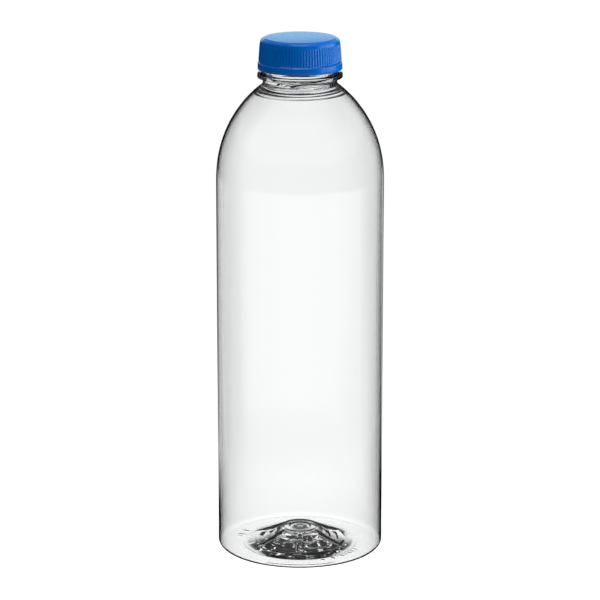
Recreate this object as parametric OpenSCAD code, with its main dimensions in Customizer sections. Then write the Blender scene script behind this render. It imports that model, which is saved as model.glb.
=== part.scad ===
// Tall clear PET juice bottle, about 0.95 litre, with a 38 mm ribbed screw cap, a loose seal liner
// and a tamper-evident drop ring. Millimetres, +Z up, origin at the centre of the standing ring.

/* [Bottle body] */
// Outer diameter of the straight wall
body_d = 78.5; // [78:0.1:79]
// Height at which the shoulder starts to curve in
shoulder_z = 179.2; // [179:0.1:179.5]
// Radius of the soft blend between the wall and the shoulder
blend_r = 68.7; // [67:0.1:70]
// Angle that the soft blend turns through
blend_angle = 7; // [6.8:0.1:7.2]
// Radius of the shoulder's dome
dome_r = 54.5; // [54.3:0.1:54.7]
// Wall thickness of the straight wall
body_wall = 0.4; // [0.35:0.01:0.5]
// Wall thickness where the dome meets the neck
dome_wall = 1.4; // [1.3:0.05:1.5]

/* [Base] */
// Outer radius of the flat standing ring
stand_out_r = 36; // [35.8:0.1:36.2]
// Inner radius of the flat standing ring
stand_in_r = 25.6; // [25.4:0.1:26]
// Height of the heel's curve
heel_h = 2.6; // [2.5:0.1:2.8]
// Wall thickness of the heel and standing ring
heel_wall = 0.75; // [0.7:0.01:0.8]
// Height of the push-up's flat top, inside the bottle
pushup_h = 8.7; // [8.5:0.1:8.9]
// Radius of the push-up's flat top
pushup_top_r = 8; // [7.8:0.1:8.2]
// Thickness of the push-up
pushup_wall = 1.5; // [1.4:0.05:1.6]
// Number of stiffening ribs on the push-up
rib_count = 6; // [5:1:8]
// Radius of a rib's round back
rib_r = 2.2; // [2:0.1:2.4]

/* [Neck finish] */
// Height of the mouth rim
rim_z = 244; // [243.9:0.05:244.05]
// Radius of the bore
bore_r = 15.5; // [15.3:0.1:15.7]
// Radius of the neck under the support ring
neck_r = 17.15; // [17.05:0.05:17.25]
// Radius of the neck between the threads
thread_root_r = 16.9; // [16.8:0.05:16.9]
// How far the threads stand out
thread_depth = 0.85; // [0.8:0.01:0.85]
// Rise of the threads in one turn
thread_lead = 9; // [9:0.5:9]
// Number of thread starts
thread_starts = 3; // [3:1:3]
// Radius of the support ring
ring_r = 19.8; // [19.6:0.05:20]
// Height of the support ring's underside
ring_z = 227.65; // [227.5:0.05:227.7]
// Thickness of the support ring's edge
ring_t = 1.95; // [1.8:0.05:2]
// Radius of the bead that holds the tamper ring down
bead_r = 18.3; // [18.2:0.05:18.35]
// Height of the bead's underside
bead_z = 232.9; // [232.85:0.05:233]

/* [Cap] */
// Height of the cap's top face
cap_top_z = 246.4; // [246.3:0.1:246.5]
// Height of the skirt's lower edge
skirt_z = 235.15; // [235.1:0.05:235.2]
// Crest radius of the grip ribs
grip_r = 19.1; // [19.05:0.05:19.2]
// Number of grip ribs
grip_count = 90; // [80:5:120]
// Depth of the grip ribs
grip_depth = 0.28; // [0.2:0.01:0.3]
// Thickness of the cap's top panel
panel_t = 1.35; // [1.3:0.05:1.4]
// Inner radius of the skirt, at the roots of the cap's threads
skirt_in_r = 17.95; // [17.9:0.05:18]

/* [Seal liner] */
// Radius of the liner
liner_r = 17.3; // [17.25:0.01:17.35]

/* [Tamper ring] */
// Outer radius of the ring
band_r = 19.6; // [19.55:0.01:19.65]
// Inner radius of the ring
band_in_r = 18.5; // [18.45:0.01:18.55]
// Height of the ring's lower edge
band_z = 231.5; // [231.5:0.05:231.55]
// Height of the ring
band_h = 3.4; // [3.35:0.05:3.45]
// Number of retaining tabs inside the ring
tab_count = 10; // [8:1:12]
// Number of break bridges between ring and cap
bridge_count = 16; // [12:1:20]

/* [Hidden] */
$fn = 72;

body_r = body_d / 2;
arc_steps = 14;
hair = 0.05;                      // gap between faces that only just meet

// centres of the two tangent shoulder arcs, as [radius, height]
blend_c = [body_r - blend_r, shoulder_z];
dome_c = blend_c + (blend_r - dome_r) * [cos(blend_angle), sin(blend_angle)];

// concave fillets between the dome and the neck, tangent to both
fillet_r = 2;
throat_r = 4;
fillet_c = fillet_centre(neck_r, dome_r, fillet_r);
throat_c = fillet_centre(bore_r, dome_r - dome_wall, throat_r);
fillet_angle = angle_from_dome(fillet_c);
throat_angle = angle_from_dome(throat_c);

function fillet_centre(wall_r, arc_r, r) =
    [wall_r + r, dome_c[1] + sqrt(pow(arc_r + r, 2) - pow(wall_r + r - dome_c[0], 2))];
function angle_from_dome(c) = atan2(c[1] - dome_c[1], c[0] - dome_c[0]);

// points along an ellipse's arc from angle a0 to a1, both ends included
function arc(c, rx, ry, a0, a1, n = arc_steps) =
    [for (i = [0:n]) let (a = a0 + (a1 - a0) * i / n) c + [rx * cos(a), ry * sin(a)]];

// the dome's inner face: its wall thickens from body_wall to dome_wall towards the neck
function dome_inside() =
    [for (i = [0:2 * arc_steps])
        let (u = i / (2 * arc_steps),
             a = blend_angle + (throat_angle - blend_angle) * u,
             t = body_wall + (dome_wall - body_wall) * pow(u, 3))
        dome_c + (dome_r - t) * [cos(a), sin(a)]];

// ---- bottle ----

// the push-up's bell, from its flat top out to the standing ring, as shares of its run and of its height
bell = [[0, 1], [0.07, 0.9], [0.15, 0.7], [0.24, 0.52], [0.38, 0.35], [0.57, 0.22], [0.8, 0.12], [1, 0.05]];
function bell_points(r0, r1, z0, h) = [for (p = bell) [r0 + (r1 - r0) * p[0], z0 + h * p[1]]];

// outside outline of the bottle from the centre of its underside to the rim
nub_h = 0.7;                        // gate nub left by the moulding
under_z = pushup_h - pushup_wall;
function outside() = concat(
    [[0, under_z - nub_h], [1.5, under_z - nub_h], [1.8, under_z]],
    bell_points(pushup_top_r, stand_in_r - 0.9, 0.2, under_z - 0.2),
    [[stand_in_r, 0]],
    arc([stand_out_r, heel_h], body_r - stand_out_r, heel_h, -90, 0),
    arc(blend_c, blend_r, blend_r, 0, blend_angle, 4),
    arc(dome_c, dome_r, dome_r, blend_angle + 1.5, fillet_angle, 2 * arc_steps),
    arc(fillet_c, fillet_r, fillet_r, 180 + fillet_angle, 180, 8),
    [[neck_r, ring_z], [ring_r - 0.3, ring_z], [ring_r, ring_z + 0.3],           // support ring
     [ring_r, ring_z + ring_t - 0.3], [ring_r - 0.3, ring_z + ring_t], [neck_r, ring_z + ring_t + 0.3],
     [neck_r, bead_z], [bead_r, bead_z], [bead_r, bead_z + 0.8],                 // retaining bead
     [thread_root_r, bead_z + 1.8],
     [thread_root_r, rim_z - 0.6], [thread_root_r - 0.5, rim_z], [0, rim_z]]);

// inside outline of the bottle from the middle of the push-up to above the rim
function inside() = concat(
    [[0, pushup_h]],
    bell_points(pushup_top_r + 0.3, stand_in_r - 0.3, 0.9, pushup_h - 0.9),
    [[stand_in_r + 0.5, heel_wall]],
    arc([stand_out_r, heel_h], body_r - body_wall - stand_out_r, heel_h - heel_wall, -90, 0),
    arc(blend_c, blend_r - body_wall, blend_r - body_wall, 0, blend_angle - 1.5, 4),
    dome_inside(),
    arc(throat_c, throat_r, throat_r, 180 + throat_angle, 180, 8),
    [[bore_r, rim_z - 0.2], [bore_r + 0.3, rim_z + hair], [0, rim_z + hair]]);

// round bar lying along each rib's back, which slopes from the top of the push-up to its foot
module rib_bars(r) {
    high = [pushup_top_r + 1, pushup_h - 0.5];
    low = [24, 1.9];
    slope = atan2(high[1] - low[1], low[0] - high[0]);
    run = norm(low - high);
    for (i = [0:rib_count - 1])
        rotate([0, 0, i * 360 / rib_count - 90])
            translate([high[0], 0, high[1]])
                rotate([0, 90 + slope, 0])
                    translate([rib_r, 0, 0])
                        cylinder(r = r, h = run);
}

module cavity() {
    difference() {
        rotate_extrude() polygon(inside());
        rib_bars(rib_r);
    }
}

// one swept thread ridge with its foot let into the wall; it points outwards (sign 1) or inwards (-1)
sink = 0.25;
fade = 12;                          // degrees over which a ridge grows from its ends
module thread_ridge(root_r, foot_w, crest_w, z0, wrap, sign) {
    steps = ceil(wrap / 6);
    rings = [for (i = [0:steps])
        let (a = wrap * i / steps,
             grown = min(1, 0.15 + a / fade, 0.15 + (wrap - a) / fade),
             z = z0 + thread_lead * a / 360,
             foot = root_r - sign * sink,
             crest = root_r + sign * thread_depth * grown)
        each [for (p = [[foot, -foot_w / 2], [crest, -crest_w / 2], [crest, crest_w / 2], [foot, foot_w / 2]])
            [p[0] * cos(a), p[0] * sin(a), z + p[1]]]];
    n = 4;
    sides = [for (i = [0:steps - 1], j = [0:n - 1])
        let (k = (j + 1) % n, m = i * n, o = m + n)
        each [[m + j, o + k, m + k], [m + j, o + j, o + k]]];
    ends = [[0, 1, 2], [0, 2, 3], [steps * n, steps * n + 2, steps * n + 1], [steps * n, steps * n + 3, steps * n + 2]];
    faces = concat(sides, ends);
    flipped = [for (f = faces) [f[0], f[2], f[1]]];
    polyhedron(rings, sign > 0 ? flipped : faces);
}

neck_thread_z = 236.8;              // centre height of a neck thread's low end
neck_thread_wrap = 160;
module neck_threads() {
    for (i = [0:thread_starts - 1])
        rotate([0, 0, i * 360 / thread_starts])
            thread_ridge(thread_root_r, 2, 0.7, neck_thread_z, neck_thread_wrap, 1);
}

module bottle() {
    color([0.92, 0.95, 0.96, 0.35])
    union() {
        difference() {
            rotate_extrude() polygon(outside());
            cavity();
            rib_bars(rib_r - pushup_wall + 0.5);
        }
        neck_threads();
    }
}

// ---- screw cap ----

ceiling_z = cap_top_z - panel_t;
panel_r = 16.4;                     // radius of the flat middle of the top
step_h = 0.7;                       // how far the flat middle stands above the rounded edge
edge_h = 1.3;                       // height of the rounded edge
core_r = grip_r - grip_depth - 0.2; // smooth wall behind the grip ribs
foot_r = grip_r - 0.05;             // smooth foot of the skirt, under the ribs
grip_z = skirt_z + 0.3;
grip_top_z = cap_top_z - 2.7;
bead_in_r = liner_r - 0.15;         // small bead under the liner that keeps it in the cap
seat_r = liner_r + 0.15;

function cap_outside() = concat(
    [[0, skirt_z], [foot_r - 0.1, skirt_z], [foot_r, skirt_z + 0.1], [foot_r, grip_z + 0.1], [core_r, grip_z + 0.15]],
    arc([panel_r + 0.6, cap_top_z - step_h - edge_h], core_r - panel_r - 0.6, edge_h, 0, 90, 8),
    [[panel_r, cap_top_z], [0, cap_top_z]]);

function cap_inside() =
    [[0, skirt_z - hair], [skirt_in_r + 0.2, skirt_z - hair], [skirt_in_r, skirt_z + 0.3],
     [skirt_in_r, rim_z - 1.9], [bead_in_r + 0.3, rim_z - 1.3], [bead_in_r, rim_z - 0.7],
     [bead_in_r, rim_z - 0.4], [seat_r, rim_z - 0.1], [seat_r, ceiling_z], [0, ceiling_z]];

// outline of the ribbed skirt: shallow teeth
function grip_outline() =
    [for (i = [0:4 * grip_count - 1])
        let (a = i * 90 / grip_count, r = grip_r - ((i % 4) < 2 ? 0 : grip_depth))
        r * [cos(a), sin(a)]];

// the cap's threads lie just under the neck's threads, as on a tightened cap
cap_thread_drop = 1.25;
cap_thread_lag = 20;                // degrees that the cap's threads start behind the neck's
cap_thread_wrap = 150;
module cap_threads() {
    for (i = [0:thread_starts - 1])
        rotate([0, 0, i * 360 / thread_starts + cap_thread_lag])
            thread_ridge(skirt_in_r, 1.5, 0.5,
                neck_thread_z - cap_thread_drop + thread_lead * cap_thread_lag / 360, cap_thread_wrap, -1);
}

module screw_cap() {
    color([0.05, 0.32, 0.75])
    union() {
        difference() {
            union() {
                rotate_extrude() polygon(cap_outside());
                translate([0, 0, grip_z])
                    linear_extrude(height = grip_top_z - grip_z)
                        polygon(grip_outline());
            }
            rotate_extrude() polygon(cap_inside());
        }
        cap_threads();
    }
}

// ---- seal liner ----

module seal_liner() {
    color([0.95, 0.95, 0.93])
    translate([0, 0, rim_z + hair])
        cylinder(r = liner_r, h = ceiling_z - hair - (rim_z + hair));
}

// ---- tamper-evident ring and its break bridges ----

tab_h = 0.9;
tab_in_r = 17.6;
module tamper_ring() {
    color([0.05, 0.32, 0.75])
    union() {
        rotate_extrude()
            polygon([[band_in_r, band_z], [band_r - 0.2, band_z], [band_r, band_z + 0.25],
                     [band_r - 0.03, band_z + band_h - 0.4], [band_r - 0.4, band_z + band_h],
                     [band_in_r, band_z + band_h]]);
        for (i = [0:tab_count - 1])
            rotate([0, 0, i * 360 / tab_count])
                rotate_extrude(angle = 240 / tab_count)
                    polygon([[band_in_r + 0.3, band_z + 0.1], [tab_in_r + 0.3, band_z + 0.3],
                             [tab_in_r, band_z + 0.3 + tab_h], [band_in_r + 0.3, band_z + 0.5 + tab_h]]);
    }
}

module break_bridges() {
    top = skirt_z - hair;
    foot = band_z + band_h;
    color([0.05, 0.32, 0.75])
    for (i = [0:bridge_count - 1])
        rotate([0, 0, (i + 0.5) * 360 / bridge_count])
            translate([band_in_r + 0.1, -0.25, foot])
                cube([0.6, 0.5, top - foot]);
}

bottle();
screw_cap();
seal_liner();
tamper_ring();
break_bridges();
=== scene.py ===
import math

import bpy
import numpy as np
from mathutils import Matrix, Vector


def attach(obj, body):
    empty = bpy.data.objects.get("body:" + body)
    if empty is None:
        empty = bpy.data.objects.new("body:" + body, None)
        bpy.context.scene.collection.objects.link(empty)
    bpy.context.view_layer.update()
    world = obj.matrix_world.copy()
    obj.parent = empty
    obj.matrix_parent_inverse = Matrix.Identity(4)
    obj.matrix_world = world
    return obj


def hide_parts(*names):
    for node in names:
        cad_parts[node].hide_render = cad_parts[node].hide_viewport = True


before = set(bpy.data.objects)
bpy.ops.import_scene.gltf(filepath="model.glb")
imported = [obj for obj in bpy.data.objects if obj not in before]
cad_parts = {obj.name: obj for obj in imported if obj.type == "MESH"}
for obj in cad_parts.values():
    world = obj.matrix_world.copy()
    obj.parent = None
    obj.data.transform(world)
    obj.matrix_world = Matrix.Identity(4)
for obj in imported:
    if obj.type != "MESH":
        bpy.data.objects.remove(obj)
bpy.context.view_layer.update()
MM = 0.001
TAU = 2 * math.pi


# ---------------------------------------------------------------- mesh helpers

def arc(c, rx, ry, a0, a1, n):
    """Points along an ellipse's arc, angles in degrees, both ends included."""
    t = np.radians(np.linspace(a0, a1, n + 1))
    return [(c[0] + rx * math.cos(a), c[1] + ry * math.sin(a)) for a in t]


def rounded(points, n=5):
    """A polyline whose corners are rounded: each point is (r, z) or (r, z, corner radius)."""
    out = []
    last = len(points) - 1
    for i, p in enumerate(points):
        if i in (0, last) or len(p) < 3:
            out.append((p[0], p[1]))
            continue
        here = Vector(p[:2])
        back, on = Vector(points[i - 1][:2]) - here, Vector(points[i + 1][:2]) - here
        half = back.angle(on) / 2
        d = min(p[2] / math.tan(half), back.length * 0.49, on.length * 0.49)
        a, b = here + back.normalized() * d, here + on.normalized() * d
        for k in range(n + 1):
            t = k / n
            q = a * (1 - t) ** 2 + here * 2 * t * (1 - t) + b * t ** 2
            out.append((q.x, q.y))
    return out


def densify(points, step):
    """Adds points so that no stretch of the outline is longer than step."""
    out = [points[0]]
    for p, q in zip(points, points[1:]):
        n = max(1, math.ceil(math.dist(p, q) / step))
        out += [(p[0] + (q[0] - p[0]) * k / n, p[1] + (q[1] - p[1]) * k / n) for k in range(1, n + 1)]
    return out


def smooth(lo, hi, x):
    t = np.clip((x - lo) / (hi - lo), 0, 1)
    return t * t * (3 - 2 * t)


def revolve(name, outline, segments, warp=None, closed=False):
    """A surface of revolution from (r, z) in mm; warp(r, z, angle) returns new r and z arrays.
    An open outline starts and ends on the axis; a closed one is a ring."""
    pts = np.array(outline, float)
    ang = np.arange(segments) * TAU / segments
    inner = pts if closed else pts[1:-1]
    r = np.repeat(inner[:, 0][:, None], segments, 1)
    z = np.repeat(inner[:, 1][:, None], segments, 1)
    a = np.repeat(ang[None, :], len(inner), 0)
    if warp:
        r, z = warp(r, z, a)
    verts = np.stack([r * np.cos(a), r * np.sin(a), z], -1).reshape(-1, 3)
    rows = len(inner)
    idx = np.arange(rows * segments).reshape(rows, segments)
    nxt = np.roll(idx, -1, axis=1)
    low, high = (idx, np.roll(idx, -1, axis=0)) if closed else (idx[:-1], idx[1:])
    low_n, high_n = (nxt, np.roll(nxt, -1, axis=0)) if closed else (nxt[:-1], nxt[1:])
    faces = np.stack([low, low_n, high_n, high], -1).reshape(-1, 4).tolist()
    if not closed:
        poles = np.array([[0, 0, pts[0, 1]], [0, 0, pts[-1, 1]]])
        p0, p1 = len(verts), len(verts) + 1
        verts = np.vstack([verts, poles])
        faces += [[p0, nxt[0, j], idx[0, j]] for j in range(segments)]
        faces += [[p1, idx[-1, j], nxt[-1, j]] for j in range(segments)]
    return mesh_object(name, verts * MM, faces)


def mesh_object(name, verts, faces, sharp_deg=50):
    mesh = bpy.data.meshes.new(name)
    mesh.from_pydata([tuple(v) for v in verts], [], [[int(i) for i in f] for f in faces])
    mesh.validate()
    mesh.update()
    obj = bpy.data.objects.new(name, mesh)
    bpy.context.scene.collection.objects.link(obj)
    mesh.shade_smooth()
    mesh.set_sharp_from_angle(angle=math.radians(sharp_deg))
    return obj


# ---------------------------------------------------------------- node helpers

def new_material(name):
    mat = bpy.data.materials.new(name)
    mat.use_nodes = True
    tree = mat.node_tree
    return mat, tree, tree.nodes["Principled BSDF"], tree.nodes["Material Output"]


def add(tree, kind, values=None, **props):
    node = tree.nodes.new(kind)
    for key, value in props.items():
        setattr(node, key, value)
    for key, value in (values or {}).items():
        node.inputs[key].default_value = value
    return node


def ramp(tree, source, stops):
    node = tree.nodes.new("ShaderNodeValToRGB")
    cr = node.color_ramp
    while len(cr.elements) < len(stops):
        cr.elements.new(0.5)
    for el, (pos, col) in zip(cr.elements, stops):
        el.position = pos
        el.color = (col, col, col, 1) if isinstance(col, (int, float)) else (*col, 1)
    tree.links.new(source, node.inputs["Fac"])
    return node.outputs["Color"]


def noise_bump(tree, bsdf, scale, strength, depth, stretch=(1, 1, 1), detail=4.0):
    coord = add(tree, "ShaderNodeTexCoord")
    mapping = add(tree, "ShaderNodeMapping", {"Scale": stretch})
    noise = add(tree, "ShaderNodeTexNoise", {"Scale": scale, "Detail": detail})
    bump = add(tree, "ShaderNodeBump", {"Strength": strength, "Distance": depth})
    tree.links.new(coord.outputs["Object"], mapping.inputs["Vector"])
    tree.links.new(mapping.outputs["Vector"], noise.inputs["Vector"])
    tree.links.new(noise.outputs["Fac"], bump.inputs["Height"])
    tree.links.new(bump.outputs["Normal"], bsdf.inputs["Normal"])
    return coord, noise


# ---------------------------------------------------------------- materials

def pet_material():
    mat, tree, bsdf, out = new_material("clear_pet")
    bsdf.inputs["Base Color"].default_value = (0.98, 0.985, 0.985, 1)
    bsdf.inputs["Transmission Weight"].default_value = 1
    bsdf.inputs["IOR"].default_value = 1.575
    noise_bump(tree, bsdf, 60, 0.12, 0.0002, (1, 1, 0.25), 2)
    bsdf.inputs["Roughness"].default_value = 0
    absorb = add(tree, "ShaderNodeVolumeAbsorption", {"Color": (0.25, 0.26, 0.27, 1), "Density": 40})
    tree.links.new(absorb.outputs["Volume"], out.inputs["Volume"])
    return mat


def blue_material():
    mat, tree, bsdf, _ = new_material("blue_cap_plastic")
    coord, noise = noise_bump(tree, bsdf, 900, 0.05, 0.0002)
    big = add(tree, "ShaderNodeTexNoise", {"Scale": 70, "Detail": 3})
    tree.links.new(coord.outputs["Object"], big.inputs["Vector"])
    tree.links.new(ramp(tree, big.outputs["Fac"], [(0.3, (0.0, 0.135, 0.56)), (0.7, (0.0, 0.155, 0.62))]),
                   bsdf.inputs["Base Color"])
    tree.links.new(ramp(tree, big.outputs["Fac"], [(0.3, 0.17), (0.7, 0.23)]), bsdf.inputs["Roughness"])
    bsdf.inputs["IOR"].default_value = 1.51
    bsdf.inputs["Specular IOR Level"].default_value = 0.2
    bsdf.inputs["Subsurface Weight"].default_value = 0.15
    bsdf.inputs["Subsurface Radius"].default_value = (0.1, 0.3, 1.0)
    bsdf.inputs["Subsurface Scale"].default_value = 0.0008
    return mat


def liner_material():
    mat, tree, bsdf, _ = new_material("liner_foam")
    coord, noise = noise_bump(tree, bsdf, 1600, 0.5, 0.0003)
    tree.links.new(ramp(tree, noise.outputs["Fac"], [(0.35, (0.78, 0.78, 0.75)), (0.65, (0.88, 0.88, 0.86))]),
                   bsdf.inputs["Base Color"])
    bsdf.inputs["Roughness"].default_value = 0.7
    return mat


# ---------------------------------------------------------------- bottle

BODY_R, WALL = 39.25, 0.7
SHOULDER_Z = 179.2
BLEND_R, BLEND_DEG = 68.7, 7.0
DOME_R, DOME_WALL = 54.5, 1.7
FILLET_R, THROAT_R = 1.6, 4          # outside and inside, between the dome and the neck
NECK_R, BORE_R, ROOT_R = 17.15, 15.5, 16.9
RING_R, RING_Z, RING_T = 19.8, 227.65, 1.95
BEAD_R, BEAD_Z = 18.3, 232.9
RIM_Z = 244.0
STAND_OUT, HEEL_H = 36.0, 2.6
LEAD, STARTS, THREAD_DEPTH = 9.0, 3, 0.85
NECK_THREAD_Z, NECK_WRAP = 236.8, 160
RIBS = 6
blend_c = (BODY_R - BLEND_R, SHOULDER_Z)
dome_c = (blend_c[0] + (BLEND_R - DOME_R) * math.cos(math.radians(BLEND_DEG)),
          blend_c[1] + (BLEND_R - DOME_R) * math.sin(math.radians(BLEND_DEG)))


def fillet_centre(wall_r, arc_r, r):
    return (wall_r + r, dome_c[1] + math.sqrt((arc_r + r) ** 2 - (wall_r + r - dome_c[0]) ** 2))


def from_dome(c):
    return math.degrees(math.atan2(c[1] - dome_c[1], c[0] - dome_c[0]))


def bottle_outline():
    """The closed shell: the underside, up the outside to the rim, and down the inside to the push-up."""
    f_out = fillet_centre(NECK_R, DOME_R, FILLET_R)
    f_in = fillet_centre(BORE_R, DOME_R - DOME_WALL, THROAT_R)
    under = rounded([(0, 6.4), (1.4, 6.4, 0.3), (1.8, 7.1, 0.3), (3.0, 7.2, 0.2), (3.3, 6.9, 0.2),
                     (4.0, 7.0, 0.3), (7.6, 7.2, 0.8), (9.0, 6.5, 0.7), (10.4, 5.2, 0.8), (12, 4.1, 1.5),
                     (14.3, 2.8, 3), (17.5, 1.85, 3), (21.4, 1.1, 2), (24.4, 0.4, 1.5), (26.8, 0.0, 1.5)])
    under += [(r, 0) for r in np.arange(27.4, STAND_OUT + 0.01, 0.43)]
    heel = arc((STAND_OUT, HEEL_H), BODY_R - STAND_OUT, HEEL_H, -90, 0, 16)[1:]
    blend = arc(blend_c, BLEND_R, BLEND_R, 0, BLEND_DEG, 5)
    dome = arc(dome_c, DOME_R, DOME_R, BLEND_DEG + 1, from_dome(f_out), 44)
    throat = arc(f_out, FILLET_R, FILLET_R, 180 + from_dome(f_out), 180, 8)
    ring_top = RING_Z + RING_T
    finish = rounded([(NECK_R, RING_Z - 2.5), (NECK_R, RING_Z, 0.35), (RING_R, RING_Z, 0.35),
                      (RING_R, ring_top, 0.6), (NECK_R + 0.3, ring_top + 0.25, 0.4),
                      (NECK_R, ring_top + 0.9, 0.4), (NECK_R, BEAD_Z, 0.2), (BEAD_R, BEAD_Z, 0.2),
                      (BEAD_R, BEAD_Z + 0.9, 0.25), (ROOT_R, BEAD_Z + 1.9, 0.4), (ROOT_R, RIM_Z - 0.05)])
    thread_zone = [(ROOT_R, z) for z in np.arange(BEAD_Z + 2.2, RIM_Z - 0.7, 0.14)]
    finish = [p for p in finish if p[1] < BEAD_Z + 2.15] + thread_zone
    rim = rounded([(ROOT_R, RIM_Z - 0.65), (ROOT_R, RIM_Z, 0.5), (BORE_R, RIM_Z, 0.35),
                   (BORE_R, RIM_Z - 1.2)], 7)
    outside = under + heel + blend + dome + throat + finish
    inside = [(BORE_R, RIM_Z - 6), (BORE_R, RING_Z)]
    inside += arc(f_in, THROAT_R, THROAT_R, 180, 180 + from_dome(f_in), 12)
    top_deg = from_dome(f_in)
    # the dome's wall thickens towards the neck, most of it in the last few degrees
    steps = 110
    for k in range(steps, -1, -1):
        u = k / steps
        deg = BLEND_DEG + (top_deg - BLEND_DEG) * u
        a = math.radians(deg)
        t = WALL + 0.45 * u ** 1.5 + 0.85 * float(smooth(top_deg - 3.3, top_deg - 1.9, deg))
        inside.append((dome_c[0] + (DOME_R - t) * math.cos(a), dome_c[1] + (DOME_R - t) * math.sin(a)))
    inside += arc(blend_c, BLEND_R - WALL, BLEND_R - WALL, BLEND_DEG - 1, 0, 5)
    inside += arc((STAND_OUT, HEEL_H), BODY_R - WALL - STAND_OUT, HEEL_H - 0.6, 0, -90, 16)
    inside += rounded([(STAND_OUT - 1, 0.6), (27.6, 0.65, 2.0), (24.6, 1.3, 2.0), (21.9, 1.95, 2),
                       (18, 2.75, 3), (14.8, 3.8, 3), (12.4, 5.2, 1.5), (10.8, 6.6, 0.8), (9.7, 8.0, 0.6),
                       (8.6, 8.65, 0.5), (5.4, 8.5, 0.4), (4.6, 8.0, 0.4), (2.9, 8.0, 0.3), (2.4, 8.6, 0.3),
                       (0, 8.6)])
    return densify(outside + rim + inside, 3.0)


def ridge(az_deg, z, first_deg, z0, wrap, foot, crest):
    """How far (0 to 1) the helical ridges of one thread start stand out at this angle and height."""
    a = (az_deg - first_deg) % 360
    d = np.abs(z - (z0 + LEAD * a / 360))
    grown = np.clip(np.minimum(a, wrap - a) / 14 + 0.05, 0, 1)
    return np.where(a <= wrap, smooth(0, 1, (foot / 2 - d) / ((foot - crest) / 2)) * grown, 0)


def bottle_warp(r, z, a):
    """Everything on the bottle that isn't round: threads, ribs, marks, ripples, waves and seams."""
    deg = np.degrees(a) % 360
    new_r, new_z = r.copy(), z.copy()
    # screw threads
    neck = (z > BEAD_Z + 1.9) & (r > ROOT_R - 0.3)
    lift = sum(ridge(deg, z, i * 360 / STARTS, NECK_THREAD_Z, NECK_WRAP, 2.0, 0.6)
               for i in range(STARTS))
    new_r = np.where(neck, new_r + THREAD_DEPTH * np.clip(lift, 0, 1), new_r)
    # push-up: radial ribs with shallow petals between them
    turn = (deg + 90) % (360 / RIBS)
    off = np.minimum(turn, 360 / RIBS - turn)                  # degrees from the nearest rib's middle
    across = np.abs(r * np.sin(np.radians(off)))               # mm from the rib's middle
    crest = 8.4 - (r - 9.0) * 6.9 / 15.2                       # a rib's straight back
    valley = np.interp(r, [0, 8.2, 9.5, 10.8, 12.4, 14.8, 18, 21.9, 25.3],
                       [8.6, 8.65, 8.05, 6.6, 5.2, 3.8, 2.75, 1.95, 1.25])
    rise = np.maximum(crest - valley, 0) * (r > 9.0) * (1 - smooth(22.8, 24.6, r))
    rib = np.exp(-(across / 1.35) ** 4)
    hollow = np.exp(-(across / 0.8) ** 4)
    on_bell = smooth(9.0, 10.5, r) * (1 - smooth(22.5, 24.8, r))
    petal = 0.5 - 0.5 * np.cos(np.radians(off * RIBS))         # 1 midway between ribs
    uneven = (0.30 * np.sin(1.35 * r + 1.1 * np.sin(2 * a + 0.4))
              + 0.16 * np.sin(7 * a + 0.6 * r) * np.sin(0.9 * r))
    base = (z < 9.6) & (r < 25.3)
    is_outer = base & (z < under_split(r))
    above = new_z + rise * rib + on_bell * (0.35 * uneven * (1 - rib) - 0.4 * petal)
    new_z = np.where(base & ~is_outer, above, new_z)
    below = new_z + on_bell * (0.7 * rise * hollow - 0.3 * petal - 0.9 * uneven)
    new_z = np.where(is_outer, np.maximum(below, np.minimum(new_z, 0.25)), new_z)
    # plain embossed ticks, and a shallow step at the front, on the standing ring
    ring_face = (z < 0.02) & (r > 27)
    mark = np.clip(np.sin(67 * a) + 0.7 * np.sin(31 * a + 1), 0, 1)
    right_arc = smooth(288, 292, deg) * (1 - smooth(334, 338, deg)) * np.exp(-((r - 29.2) / 0.9) ** 4)
    left_arc = smooth(150, 153, deg) * (1 - smooth(168, 171, deg)) * np.exp(-((r - 29.6) / 1.6) ** 4)
    new_z = np.where(ring_face, new_z + 0.16 * mark * (right_arc + left_arc), new_z)
    step = 0.55 * np.exp(-((deg - 270) / 24) ** 6) * smooth(34.0, 34.5, r)
    new_z = np.where((z < 0.6) & (r > 33), new_z + step * (1 - smooth(0.2, 0.6, z)), new_z)
    # ripples left by the stretch, just under the neck
    near = (z > 219) & (z < 229) & (r < 21.5)
    inside = near & (r < inner_limit(z))
    ripple = (0.42 * np.sin((z - 219) * 3.1 + 0.6 * np.sin(2 * a))
              + 0.10 * np.sin((z - 219) * 7.9 + 1.3 * np.sin(a + 1)))
    soft = smooth(219, 221, z) * (1 - smooth(226.0, 228, z))
    new_r = np.where(inside, new_r + ripple * soft, new_r)
    throat = near & ~inside & (z > 222) & (r < 17.4)
    new_r = np.where(throat, new_r + 0.15 * np.sin((z - 219) * 4.3) * soft, new_r)
    # the blown wall is never quite even
    wall = (z > 6) & (z < 215) & (r > 20)
    wave = (0.035 * np.sin(3 * a + 0.9) * np.sin(z / 31) + 0.02 * np.sin(7 * a + z / 23)
            + 0.012 * np.sin(17 * a - z / 41))
    fade = smooth(6, 25, z) * (1 - smooth(195, 215, z))
    # the wall is drawn in by 0.055 mm, so that the waves' crests pass the CAD's radius by 0.012 at most
    new_r = np.where(wall, new_r + wave * fade - 0.055, new_r)
    # mould parting lines, on the outside at 18 and 198 degrees; the second is fainter
    seam = np.exp(-(((deg - 18 + 90) % 180 - 90) / 0.8) ** 2) * np.where(deg < 180, 1.0, 0.3)
    outer = wall & (r > 38.95)
    new_r = np.where(outer, new_r + 0.05 * seam * fade, new_r)
    return new_r, new_z


def inner_limit(z):
    """Radius half way through the wall near the neck, which tells its inside from its outside."""
    outer = np.sqrt(np.maximum(DOME_R ** 2 - (z - dome_c[1]) ** 2, 0)) + dome_c[0]
    return np.maximum(outer, NECK_R) - 0.45


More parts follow.
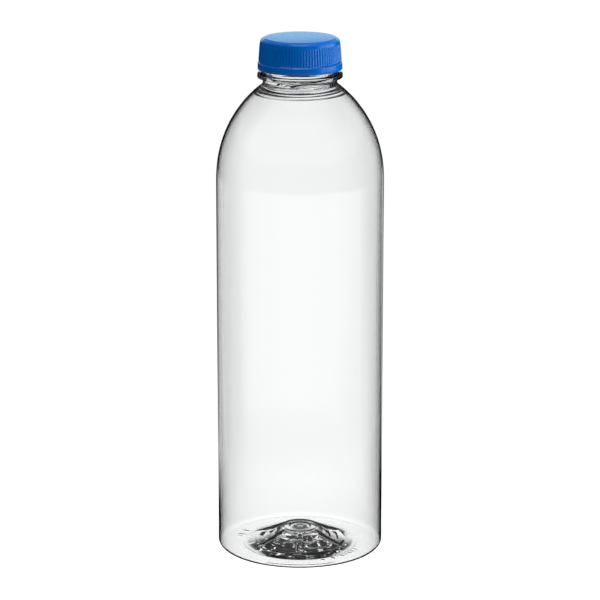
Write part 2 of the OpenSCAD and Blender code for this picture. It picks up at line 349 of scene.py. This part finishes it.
def under_split(r):
    """Height half way through the push-up's wall, which tells its inside from its underside."""
    return np.interp(r, [0, 2.2, 3.4, 4.4, 7.8, 9.2, 10.6, 12.2, 14.5, 17.8, 21.6, 25.2],
                     [7.5, 7.8, 7.5, 7.5, 7.9, 7.3, 5.9, 4.6, 3.3, 2.3, 1.5, 0.9])


# ---------------------------------------------------------------- cap, liner, ring, bridges

CAP_TOP, SKIRT_Z = 246.4, 235.15
SKIRT_IN = 17.95
CEILING = CAP_TOP - 1.35
LINER_R = 17.3
GRIPS = 90
GRIP_Z0, GRIP_Z1 = SKIRT_Z + 0.25, CAP_TOP - 2.7
CAP_THREAD_DROP, CAP_THREAD_LAG, CAP_WRAP = 1.25, 20, 150
PANEL_R, PANEL_RISE = 15.6, 0.3      # the top's low dome
BAND_IN, BAND_OUT, BAND_Z0, BAND_Z1 = 18.5, 19.6, 231.5, 234.9
LIP = 0.08                           # how far skirt and band are drawn towards each other, past the CAD
TABS, BRIDGES = 10, 16


def cap_outline():
    seat, bead = LINER_R + 0.15, LINER_R - 0.15
    out = [(0, CEILING)] + rounded([(LINER_R, CEILING), (seat, CEILING - 0.15), (seat, RIM_Z - 0.1, 0.2),
                                    (bead, RIM_Z - 0.45, 0.15), (bead, RIM_Z - 0.7, 0.15),
                                    (SKIRT_IN, RIM_Z - 1.9)])
    out += [(SKIRT_IN, z) for z in np.arange(RIM_Z - 2.1, SKIRT_Z + 0.35, -0.14)]
    out += rounded([(SKIRT_IN, SKIRT_Z + 0.3), (SKIRT_IN + 0.2, SKIRT_Z - LIP, 0.1),
                    (18.95, SKIRT_Z - LIP, 0.12), (19.08, SKIRT_Z + 0.1)])
    out += [(19.1 - 0.62 * t, GRIP_Z0 + (GRIP_Z1 - GRIP_Z0) * t) for t in np.linspace(0, 1, 44)]
    out += rounded([(18.46, GRIP_Z1 + 0.2), (18.30, CAP_TOP - 1.55, 0.5), (17.75, CAP_TOP - 0.85, 0.6),
                    (17.0, CAP_TOP - 0.72, 0.25), (16.4, CAP_TOP - 0.3, 0.4)], 7)
    out += [(r, CAP_TOP - PANEL_RISE * (r / PANEL_R) ** 2) for r in np.linspace(PANEL_R, 0, 12)]
    return densify(out, 1.6)


def cap_warp(r, z, a):
    """The cap's threads and grip ribs."""
    deg = np.degrees(a) % 360
    low_end = NECK_THREAD_Z - CAP_THREAD_DROP + LEAD * CAP_THREAD_LAG / 360
    lift = sum(ridge(deg, z, i * 360 / STARTS + CAP_THREAD_LAG, low_end, CAP_WRAP, 1.5, 0.5)
               for i in range(STARTS))
    inside = (np.abs(r - SKIRT_IN) < 0.05) & (z < RIM_Z - 1.9)
    new_r = np.where(inside, r - THREAD_DEPTH * np.clip(lift, 0, 1), r)
    # grip ribs: narrow rounded crests with wider valleys, fading out at both ends
    wave = (0.5 + 0.5 * np.cos(a * GRIPS)) ** 1.3
    on = smooth(GRIP_Z0 - 0.05, GRIP_Z0 + 0.25, z) * (1 - smooth(GRIP_Z1 - 0.7, GRIP_Z1 + 0.05, z))
    new_r = new_r + on * (r > 18.3) * (0.24 * wave - 0.08)
    return new_r, z


def ring_outline():
    z0, z1 = BAND_Z0, BAND_Z1
    return rounded([(BAND_IN, z0 + 1.2), (BAND_IN, z0), (19.2, z0, 0.1), (19.56, z0 + 0.05, 0.12),
                    (BAND_OUT, z0 + 1.2), (19.56, z1 - 0.35, 0.15), (19.15, z1 + LIP, 0.1),
                    (BAND_IN, z1 + LIP, 0.1), (BAND_IN, z0 + 1.6)], 5)


def tabs_mesh():
    """Folded-in tabs that catch under the neck's bead, as one mesh of separate curved wedges."""
    verts, faces = [], []
    steps, tab_deg, root_r = 10, 24, 18.9
    section = [(root_r, 231.6), (18.2, 231.65), (17.85, 231.85), (17.6, 232.6), (17.75, 232.7),
               (18.25, 232.65), (root_r, 232.85)]
    for i in range(TABS):
        base = len(verts)
        for k in range(steps + 1):
            a = math.radians(i * 360 / TABS + tab_deg * k / steps)
            edge = 0.25 if k in (0, steps) else 0.0
            for r, z in section:
                rr = r + (root_r - r) * edge
                verts.append((rr * math.cos(a) * MM, rr * math.sin(a) * MM, z * MM))
        n = len(section)
        for k in range(steps):
            for j in range(n):
                j2 = (j + 1) % n
                p, q = base + k * n, base + (k + 1) * n
                faces.append((p + j, q + j, q + j2, p + j2))
        faces.append([base + j for j in range(n)])
        faces.append([base + steps * n + j for j in range(n - 1, -1, -1)])
    return mesh_object("tamper_tabs", verts, faces, 40)


def bridges_mesh():
    """Thin bridges, waisted in the middle where they tear. Their tops reach 0.03 mm into the skirt."""
    verts, faces = [], []
    levels = [(234.83, 0.36), (234.94, 0.30), (235.0, 0.2), (235.06, 0.22), (235.1, 0.3)]   # z, half width
    for i in range(BRIDGES):
        mid = math.radians((i + 0.5) * 360 / BRIDGES)
        base = len(verts)
        for z, half in levels:
            for r, s in ((18.75, -1), (19.25, -1), (19.25, 1), (18.75, 1)):
                a = mid + s * half / 19
                verts.append((r * math.cos(a) * MM, r * math.sin(a) * MM, z * MM))
        for k in range(len(levels) - 1):
            for j in range(4):
                p = base + 4 * k
                faces.append((p + j, p + (j + 1) % 4, p + 4 + (j + 1) % 4, p + 4 + j))
        faces.append((base + 3, base + 2, base + 1, base))
        top = base + 4 * (len(levels) - 1)
        faces.append((top, top + 1, top + 2, top + 3))
    return mesh_object("tear_bridges", verts, faces, 40)


def liner_outline():
    lo, hi = RIM_Z + 0.05, CEILING - 0.05
    # the rim leaves a shallow groove in it
    return rounded([(0, lo), (15.1, lo, 0.1), (15.4, lo + 0.06, 0.1), (16.3, lo + 0.06, 0.1),
                    (16.7, lo, 0.1), (LINER_R, lo, 0.15), (LINER_R, hi, 0.15), (0, hi)], 4)


# ---------------------------------------------------------------- build

pet, blue, foam = pet_material(), blue_material(), liner_material()

bottle = revolve("bottle_shell", bottle_outline(), 360, bottle_warp)
bottle.data.materials.append(pet)
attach(bottle, "bottle_body")
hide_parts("bottle")

cap = revolve("cap_shell", cap_outline(), 1000, cap_warp)
cap.data.materials.append(blue)
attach(cap, "cap_body")
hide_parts("screw_cap")

liner = revolve("liner_disc", densify(liner_outline(), 1.2), 180)
liner.data.materials.append(foam)
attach(liner, "liner_body")
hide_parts("seal_liner")

ring = revolve("tamper_band", ring_outline()[:-1], 300, closed=True)
tabs = tabs_mesh()
bridges = bridges_mesh()
for obj in (ring, tabs, bridges):
    obj.data.materials.append(blue)
    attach(obj, "ring_body")
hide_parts("tamper_ring")
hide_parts("tamper_ring")
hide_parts("break_bridges")


# ---------------------------------------------------------------- studio

def seen_straight(tree):
    """1 for what is seen directly or through clear plastic without any reflection on the way, else 0."""
    path = add(tree, "ShaderNodeLightPath")
    direct = add(tree, "ShaderNodeMath", operation="MAXIMUM")
    mirrored = add(tree, "ShaderNodeMath", {1: 0.5}, operation="LESS_THAN")
    both = add(tree, "ShaderNodeMath", operation="MULTIPLY")
    tree.links.new(path.outputs["Is Camera Ray"], direct.inputs[0])
    tree.links.new(path.outputs["Is Transmission Ray"], direct.inputs[1])
    tree.links.new(path.outputs["Glossy Depth"], mirrored.inputs[0])
    tree.links.new(direct.outputs[0], both.inputs[0])
    tree.links.new(mirrored.outputs[0], both.inputs[1])
    return path, both.outputs[0]


def around(tree, vector, stops):
    """Grey level by bearing: 0 is the right (+X), 0.25 the back (+Y), 0.5 the left, 0.75 the front."""
    split = add(tree, "ShaderNodeSeparateXYZ")
    turn = add(tree, "ShaderNodeMath", operation="ARCTAN2")
    whole = add(tree, "ShaderNodeMapRange",
                {"From Min": -math.pi, "From Max": math.pi, "To Min": -0.5, "To Max": 0.5})
    wrap = add(tree, "ShaderNodeMath", {1: 0.0, 2: 1.0}, operation="WRAP")
    tree.links.new(vector, split.inputs[0])
    tree.links.new(split.outputs["Y"], turn.inputs[0])
    tree.links.new(split.outputs["X"], turn.inputs[1])
    tree.links.new(turn.outputs[0], whole.inputs["Value"])
    tree.links.new(whole.outputs["Result"], wrap.inputs[0])
    return ramp(tree, wrap.outputs[0], stops)


# what a reflection in the plastic sees of the floor, by bearing: dark flags beside lit strips
FLOOR_STOPS = [(0.0, 0.55), (0.02, 0.4), (0.05, 0.0), (0.16, 0.0), (0.175, 0.5), (0.19, 0.5),
               (0.205, 0.0), (0.30, 0.0), (0.32, 0.3), (0.35, 0.6), (0.40, 0.45), (0.44, 0.1),
               (0.50, 0.1), (0.60, 0.65), (0.75, 0.8), (0.92, 0.8)]
# what a reflection sees of the room, and what shows through the plastic, from below (0) to above (1)
ROOM_STOPS = [(0.48, 0.02), (0.60, 0.04), (0.65, 0.3), (0.76, 0.3), (0.82, 0.2), (0.92, 0.5), (1.0, 0.9)]
SKY_STOPS = [(0.6, 1.0), (0.72, 0.15), (1.0, 0.25)]
SKY_SEEN = 1.06                      # level of the backdrop straight from the camera
PATCH_RANGE, FLAG_RANGE = 0.25, 1.25  # metres that the floor's two distance ramps cover


def distance(tree, place, full):
    """How far a point of the floor is from the bottle's axis, as a share of full metres."""
    away = add(tree, "ShaderNodeVectorMath", operation="LENGTH")
    share = add(tree, "ShaderNodeMath", {1: full}, operation="DIVIDE", use_clamp=True)
    tree.links.new(place, away.inputs[0])
    tree.links.new(away.outputs["Value"], share.inputs[0])
    return share.outputs[0]


def push_up_shade(tree, place):
    """1 on the open floor, a little more under the standing ring as painted light, and painted shade in dark
    streaks under the push-up.
    """
    away = distance(tree, place, PATCH_RANGE)
    outside = ramp(tree, away, [(0.096, 0.0), (0.101, 1.0)])
    # painted light: the floor is made brighter under the standing ring, fading back to 1 far off
    painted_ring_light = ramp(tree, away, [(0.14, 1.42), (0.168, 1.08), (0.40, 1.06), (0.80, 1.0)])
    # the back of the painted shade patch narrows, as the bell hides only a wedge of the floor behind it
    split = add(tree, "ShaderNodeSeparateXYZ")
    side = add(tree, "ShaderNodeMath", operation="ABSOLUTE")
    wedge = add(tree, "ShaderNodeMath", {1: 0.8}, operation="MULTIPLY_ADD")
    behind = add(tree, "ShaderNodeMapRange", {"From Min": 0.012, "From Max": 0.024})
    tree.links.new(place, split.inputs[0])
    tree.links.new(split.outputs["X"], side.inputs[0])
    tree.links.new(side.outputs[0], wedge.inputs[0])
    tree.links.new(split.outputs["Y"], wedge.inputs[2])
    tree.links.new(wedge.outputs[0], behind.inputs["Value"])
    bright = add(tree, "ShaderNodeMath", operation="MAXIMUM")
    tree.links.new(outside, bright.inputs[0])
    tree.links.new(behind.outputs["Result"], bright.inputs[1])
    # painted shade: noise breaks the dark patch under the push-up into streaks
    streaks = add(tree, "ShaderNodeTexNoise", {"Scale": 170, "Detail": 1, "Distortion": 2.5})
    tree.links.new(place, streaks.inputs["Vector"])
    grey = ramp(tree, streaks.outputs["Fac"], [(0.55, 0.0), (0.60, 0.03), (0.635, 0.8), (0.68, 1.6)])
    mix = add(tree, "ShaderNodeMix", data_type="FLOAT")
    tree.links.new(bright.outputs[0], mix.inputs["Factor"])
    tree.links.new(grey, mix.inputs["A"])
    tree.links.new(painted_ring_light, mix.inputs["B"])
    return mix.outputs["Result"]


def stage_floor():
    """The studio's floor: pale where it is seen straight, and grey by bearing where it is reflected."""
    n, radius = 96, 9.0
    verts = [(0, 0, 0)]
    verts += [(radius * math.cos(TAU * i / n), radius * math.sin(TAU * i / n), 0) for i in range(n)]
    floor = mesh_object("studio_floor", verts, [(0, 1 + i, 1 + (i + 1) % n) for i in range(n)])
    floor.location.z = -0.00005      # just clear of the standing ring
    mat, tree, bsdf, out = new_material("studio_floor")
    tree.nodes.remove(bsdf)
    path, seen = seen_straight(tree)
    paper = add(tree, "ShaderNodeBsdfDiffuse", {"Color": (0.14, 0.14, 0.14, 1)})
    glow = add(tree, "ShaderNodeEmission")
    level = add(tree, "ShaderNodeMapRange", {"To Min": 0.98, "To Max": 1.04})
    lit = add(tree, "ShaderNodeAddShader")
    dim = add(tree, "ShaderNodeEmission", {"Strength": 1.0})
    mix = add(tree, "ShaderNodeMixShader")
    coord = add(tree, "ShaderNodeTexCoord")
    grey = around(tree, coord.outputs["Object"], FLOOR_STOPS)
    tree.links.new(path.outputs["Is Transmission Ray"], level.inputs["Value"])
    # painted shade under the push-up, dark and in streaks, and painted light under the standing ring
    under = push_up_shade(tree, coord.outputs["Object"])
    shade = add(tree, "ShaderNodeMath", operation="MULTIPLY")
    tree.links.new(under, shade.inputs[0])
    tree.links.new(level.outputs["Result"], shade.inputs[1])
    tree.links.new(shade.outputs[0], glow.inputs["Strength"])
    tree.links.new(paper.outputs[0], lit.inputs[0])
    tree.links.new(glow.outputs[0], lit.inputs[1])
    # the floor lights reflections only between a painted shade round the base and the flags that stand far
    # off
    away = distance(tree, coord.outputs["Object"], FLAG_RANGE)
    zone = ramp(tree, away, [(0.06, 0.0), (0.13, 1.0), (0.70, 1.0), (0.90, 0.08)])
    tree.links.new(zone, dim.inputs["Strength"])
    tree.links.new(grey, dim.inputs["Color"])
    tree.links.new(seen, mix.inputs["Fac"])
    tree.links.new(dim.outputs[0], mix.inputs[1])
    tree.links.new(lit.outputs[0], mix.inputs[2])
    tree.links.new(mix.outputs[0], out.inputs["Surface"])
    floor.data.materials.append(mat)


def studio_world():
    """A bright backdrop where it is seen straight, and a dim room where it is reflected."""
    world = bpy.data.worlds.new("studio")
    bpy.context.scene.world = world
    world.use_nodes = True
    tree = world.node_tree
    back, out = tree.nodes["Background"], tree.nodes["World Output"]
    coord = add(tree, "ShaderNodeTexCoord")
    split = add(tree, "ShaderNodeSeparateXYZ")
    tree.links.new(coord.outputs["Generated"], split.inputs[0])
    height = add(tree, "ShaderNodeMapRange", {"From Min": -1, "From Max": 1})
    tree.links.new(split.outputs["Z"], height.inputs["Value"])
    room = ramp(tree, height.outputs["Result"], ROOM_STOPS)
    path, seen = seen_straight(tree)
    mix = add(tree, "ShaderNodeMix", data_type="RGBA")
    bright = ramp(tree, height.outputs["Result"], SKY_STOPS)
    sky = add(tree, "ShaderNodeMix", data_type="RGBA")
    sky.inputs["B"].default_value = (SKY_SEEN, SKY_SEEN, SKY_SEEN, 1)
    tree.links.new(path.outputs["Is Camera Ray"], sky.inputs["Factor"])
    tree.links.new(bright, sky.inputs["A"])
    tree.links.new(sky.outputs["Result"], mix.inputs["B"])
    tree.links.new(seen, mix.inputs["Factor"])
    tree.links.new(room, mix.inputs["A"])
    tree.links.new(mix.outputs["Result"], back.inputs["Color"])


def area_light(name, where, aim, size, watts, receivers, tint=(1, 1, 1)):
    """A soft box that lights just the objects of one collection."""
    light = bpy.data.lights.new(name, "AREA")
    light.shape = "RECTANGLE"
    light.size, light.size_y = size
    light.energy, light.color = watts, tint
    obj = bpy.data.objects.new(name, light)
    bpy.context.scene.collection.objects.link(obj)
    obj.location = where
    obj.rotation_euler = (Vector(aim) - Vector(where)).to_track_quat("-Z", "Y").to_euler()
    obj.visible_camera = False
    obj.visible_transmission = False
    obj.light_linking.receiver_collection = receivers


def studio_camera():
    """About 1.3 m from the bottle and pitched down 15 degrees, fitted to the photo's outline."""
    cam = bpy.data.cameras.new("camera")
    cam.lens, cam.sensor_width = 165.46, 36
    obj = bpy.data.objects.new("camera", cam)
    bpy.context.scene.collection.objects.link(obj)
    aim = Vector((0.0, 0, 0.1208))
    obj.location = (0.0, -1.258, 0.4579)
    obj.rotation_euler = (aim - obj.location).to_track_quat("-Z", "Y").to_euler()
    bpy.context.scene.camera = obj


stage_floor()
studio_world()
closure = bpy.data.collections.new("closure_lit")
for obj in (cap, ring, tabs, bridges, liner):
    closure.objects.link(obj)
cap_middle = (0, 0, 0.24)
area_light("key_right", (1.1, -0.10, 0.45), cap_middle, (1.2, 1.0), 12.5, closure)
area_light("panel_back", (-0.1, 1.3, 0.42), cap_middle, (1.6, 0.34), 2.1, closure, (0.62, 1.0, 1.0))
area_light("top", (0.0, -0.2, 1.2), cap_middle, (0.6, 0.6), 4, closure)
studio_camera()
bpy.context.scene.view_settings.view_transform = "Standard"
